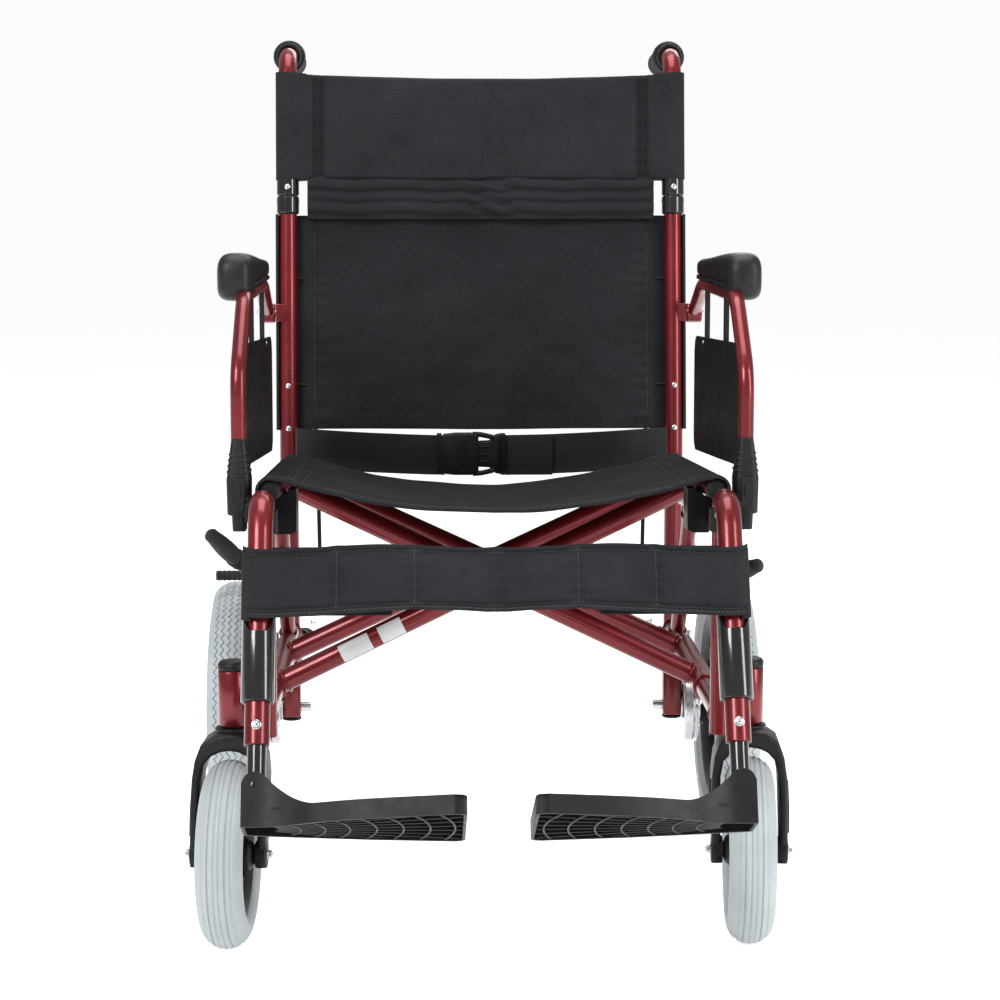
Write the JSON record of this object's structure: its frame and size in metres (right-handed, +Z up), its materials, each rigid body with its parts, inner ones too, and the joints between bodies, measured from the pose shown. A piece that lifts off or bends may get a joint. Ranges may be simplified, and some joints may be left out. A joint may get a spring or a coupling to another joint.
{
  "type": "transport wheelchair",
  "caption": "Folding attendant wheelchair with slung seat, half-folding back, flip-back armrests, swing-away footrests and four small wheels.",
  "frame": {"origin": "centre of the chair's footprint box, on the floor", "axes": "+X to the occupant's left, -Y to the front, +Z up"},
  "size_m": [0.672, 0.997, 0.9835],
  "materials": {
    "red_paint": "gloss dark red powder coat",
    "steel": "zinc-plated bolts and drum",
    "gloss_black": "gloss black",
    "grey_tyre": "light grey rubber",
    "grip": "soft black grip",
    "pad": "moulded foam pad skin",
    "seat_fabric": "woven black nylon",
    "webbing": "black webbing",
    "cable": "black cable sheath",
    "black_plastic": "moulded black plastic"
  },
  "bodies": {
    "frame_left": {"side_frame_left": "red_paint", "seat_saddle_left": "black_plastic", "drum_brake_left": "steel", "back_hinge_left": "gloss_black", "brake_cable_left": "cable", "arm_socket_left": "black_plastic", "caster_cap_left": "black_plastic"},
    "frame_right": {"side_frame_right": "red_paint", "seat_saddle_right": "black_plastic", "drum_brake_right": "steel", "back_hinge_right": "gloss_black", "brake_cable_right": "cable", "arm_socket_right": "black_plastic", "caster_cap_right": "black_plastic", "seat_sling": "seat_fabric", "back_lower": "seat_fabric", "lap_belt": "webbing", "belt_buckle": "black_plastic"},
    "brace_a": {"brace_a": "red_paint", "brace_bolt": "steel"},
    "brace_b": {"brace_b": "red_paint"},
    "rear_wheel_left": {"rear_rim_left": "black_plastic", "rear_tyre_left": "grey_tyre"},
    "caster_left": {"caster_fork_left": "black_plastic"},
    "caster_wheel_left": {"caster_rim_left": "black_plastic", "caster_tyre_left": "grey_tyre"},
    "handle_left": {"upper_cane_left": "red_paint", "hand_grip_left": "grip", "brake_bracket_left": "black_plastic"},
    "brake_lever_left": {"brake_lever_left": "black_plastic"},
    "hanger_left": {"hanger_left": "red_paint", "hanger_clamp_left": "black_plastic", "calf_strap_left": "seat_fabric"},
    "foot_tube_left": {"foot_tube_left": "gloss_black"},
    "footplate_left": {"footplate_left": "black_plastic"},
    "armrest_left": {"armrest_tube_left": "red_paint", "arm_pad_left": "pad", "skirt_guard_left": "black_plastic"},
    "lock_lever_left": {"lock_lever_left": "black_plastic"},
    "lock_shoe_left": {"lock_shoe_left": "black_plastic"},
    "rear_wheel_right": {"rear_rim_right": "black_plastic", "rear_tyre_right": "grey_tyre"},
    "caster_right": {"caster_fork_right": "black_plastic"},
    "caster_wheel_right": {"caster_rim_right": "black_plastic", "caster_tyre_right": "grey_tyre"},
    "handle_right": {"upper_cane_right": "red_paint", "hand_grip_right": "grip", "brake_bracket_right": "black_plastic", "back_upper": "seat_fabric"},
    "brake_lever_right": {"brake_lever_right": "black_plastic"},
    "hanger_right": {"hanger_right": "red_paint", "hanger_clamp_right": "black_plastic", "calf_strap_right": "seat_fabric"},
    "foot_tube_right": {"foot_tube_right": "gloss_black"},
    "footplate_right": {"footplate_right": "black_plastic"},
    "armrest_right": {"armrest_tube_right": "red_paint", "arm_pad_right": "pad", "skirt_guard_right": "black_plastic"},
    "lock_lever_right": {"lock_lever_right": "black_plastic"},
    "lock_shoe_right": {"lock_shoe_right": "black_plastic"}
  },
  "joints": [
    {"name": "fold", "type": "hinge", "parent": "frame_right", "child": "brace_a", "pos_m": [-0.238, 0.036, 0.256], "axis": [0, -1, 0], "range_deg": [0, 43], "deforming": ["seat_sling", "back_lower", "back_upper", "lap_belt", "belt_buckle", "calf_strap_left", "calf_strap_right"]},
    {"name": "brace_cross", "type": "hinge", "parent": "brace_a", "child": "brace_b", "pos_m": [0, 0.036, 0.36845], "axis": [0, -1, 0], "range_deg": [-87, 0]},
    {"name": "frame_close", "type": "hinge", "parent": "brace_b", "child": "frame_left", "pos_m": [0.238, 0.036, 0.256], "axis": [0, -1, 0], "range_deg": [0, 43.5]},
    {"name": "rear_wheel_spin_left", "type": "hinge", "parent": "frame_left", "child": "rear_wheel_left", "pos_m": [0.306, 0.28, 0.1575], "axis": [1, 0, 0], "continuous": true},
    {"name": "caster_swivel_left", "type": "hinge", "parent": "frame_left", "child": "caster_left", "pos_m": [0.278, -0.147, 0.25], "axis": [0, 0, 1], "continuous": true},
    {"name": "caster_spin_left", "type": "hinge", "parent": "caster_left", "child": "caster_wheel_left", "pos_m": [0.27486, -0.19189, 0.1], "axis": [0.9976, -0.0698, 0], "continuous": true},
    {"name": "back_fold_left", "type": "hinge", "parent": "frame_left", "child": "handle_left", "pos_m": [0.238, 0.33392, 0.7912], "axis": [-1, 0, 0], "range_deg": [0, 90]},
    {"name": "hand_brake_left", "type": "hinge", "parent": "handle_left", "child": "brake_lever_left", "pos_m": [0.238, 0.378, 0.93578], "axis": [1, 0, 0], "range_deg": [0, 12], "stiffness_Nm_per_rad": 0.6},
    {"name": "footrest_swing_left", "type": "hinge", "parent": "frame_left", "child": "hanger_left", "pos_m": [0.238, -0.266, 0.42], "axis": [0, 0, 1], "range_deg": [0, 90]},
    {"name": "footrest_length_left", "type": "slide", "parent": "hanger_left", "child": "foot_tube_left", "axis": [0, -0.4226, -0.9063], "range_m": [-0.02, 0.07]},
    {"name": "footplate_flip_left", "type": "hinge", "parent": "foot_tube_left", "child": "footplate_left", "pos_m": [0.237, -0.405, 0.223], "axis": [0, 0.9063, -0.4226], "range_deg": [0, 88.5]},
    {"name": "armrest_flip_left", "type": "hinge", "parent": "frame_left", "child": "armrest_left", "pos_m": [0.264, 0.302, 0.648], "axis": [-1, 0, 0], "range_deg": [0, 78]},
    {"name": "wheel_lock_left", "type": "hinge", "parent": "frame_left", "child": "lock_lever_left", "pos_m": [0.2564, 0.114, 0.336], "axis": [1, 0, 0], "range_deg": [-36, 0]},
    {"name": "lock_shoe_left", "type": "hinge", "parent": "frame_left", "child": "lock_shoe_left", "pos_m": [0.2564, 0.146, 0.338], "axis": [1, 0, 0], "range_deg": [0, 8.6]},
    {"name": "rear_wheel_spin_right", "type": "hinge", "parent": "frame_right", "child": "rear_wheel_right", "pos_m": [-0.306, 0.28, 0.1575], "axis": [1, 0, 0], "continuous": true},
    {"name": "caster_swivel_right", "type": "hinge", "parent": "frame_right", "child": "caster_right", "pos_m": [-0.278, -0.147, 0.25], "axis": [0, 0, 1], "continuous": true},
    {"name": "caster_spin_right", "type": "hinge", "parent": "caster_right", "child": "caster_wheel_right", "pos_m": [-0.28114, -0.19189, 0.1], "axis": [0.9976, -0.0698, 0], "continuous": true},
    {"name": "back_fold_right", "type": "hinge", "parent": "frame_right", "child": "handle_right", "pos_m": [-0.238, 0.33392, 0.7912], "axis": [-1, 0, 0], "range_deg": [0, 90], "deforming": ["brake_cable_left", "brake_cable_right"]},
    {"name": "hand_brake_right", "type": "hinge", "parent": "handle_right", "child": "brake_lever_right", "pos_m": [-0.238, 0.378, 0.93578], "axis": [1, 0, 0], "range_deg": [0, 12], "stiffness_Nm_per_rad": 0.6},
    {"name": "footrest_swing_right", "type": "hinge", "parent": "frame_right", "child": "hanger_right", "pos_m": [-0.238, -0.266, 0.42], "axis": [0, 0, -1], "range_deg": [0, 90]},
    {"name": "footrest_length_right", "type": "slide", "parent": "hanger_right", "child": "foot_tube_right", "axis": [0, -0.4226, -0.9063], "range_m": [-0.02, 0.07]},
    {"name": "footplate_flip_right", "type": "hinge", "parent": "foot_tube_right", "child": "footplate_right", "pos_m": [-0.237, -0.405, 0.223], "axis": [0, -0.9063, 0.4226], "range_deg": [0, 88.5]},
    {"name": "armrest_flip_right", "type": "hinge", "parent": "frame_right", "child": "armrest_right", "pos_m": [-0.264, 0.302, 0.648], "axis": [-1, 0, 0], "range_deg": [0, 78]},
    {"name": "wheel_lock_right", "type": "hinge", "parent": "frame_right", "child": "lock_lever_right", "pos_m": [-0.2564, 0.114, 0.336], "axis": [1, 0, 0], "range_deg": [0, 36]},
    {"name": "lock_shoe_right", "type": "hinge", "parent": "frame_right", "child": "lock_shoe_right", "pos_m": [-0.2564, 0.146, 0.338], "axis": [1, 0, 0], "range_deg": [-8.6, 0]}
  ],
  "couplings": [
    {"joint": "brace_cross", "follows": "fold", "ratio": -2},
    {"joint": "frame_close", "follows": "fold", "ratio": 1},
    {"joint": "footplate_flip_left", "follows": "fold", "ratio": 2.05},
    {"joint": "lock_shoe_left", "follows": "wheel_lock_left", "ratio": -0.236},
    {"joint": "footplate_flip_right", "follows": "fold", "ratio": 2.05},
    {"joint": "lock_shoe_right", "follows": "wheel_lock_right", "ratio": -0.236},
    {"joint": "back_fold_left", "follows": "back_fold_right", "ratio": 1}
  ]
}
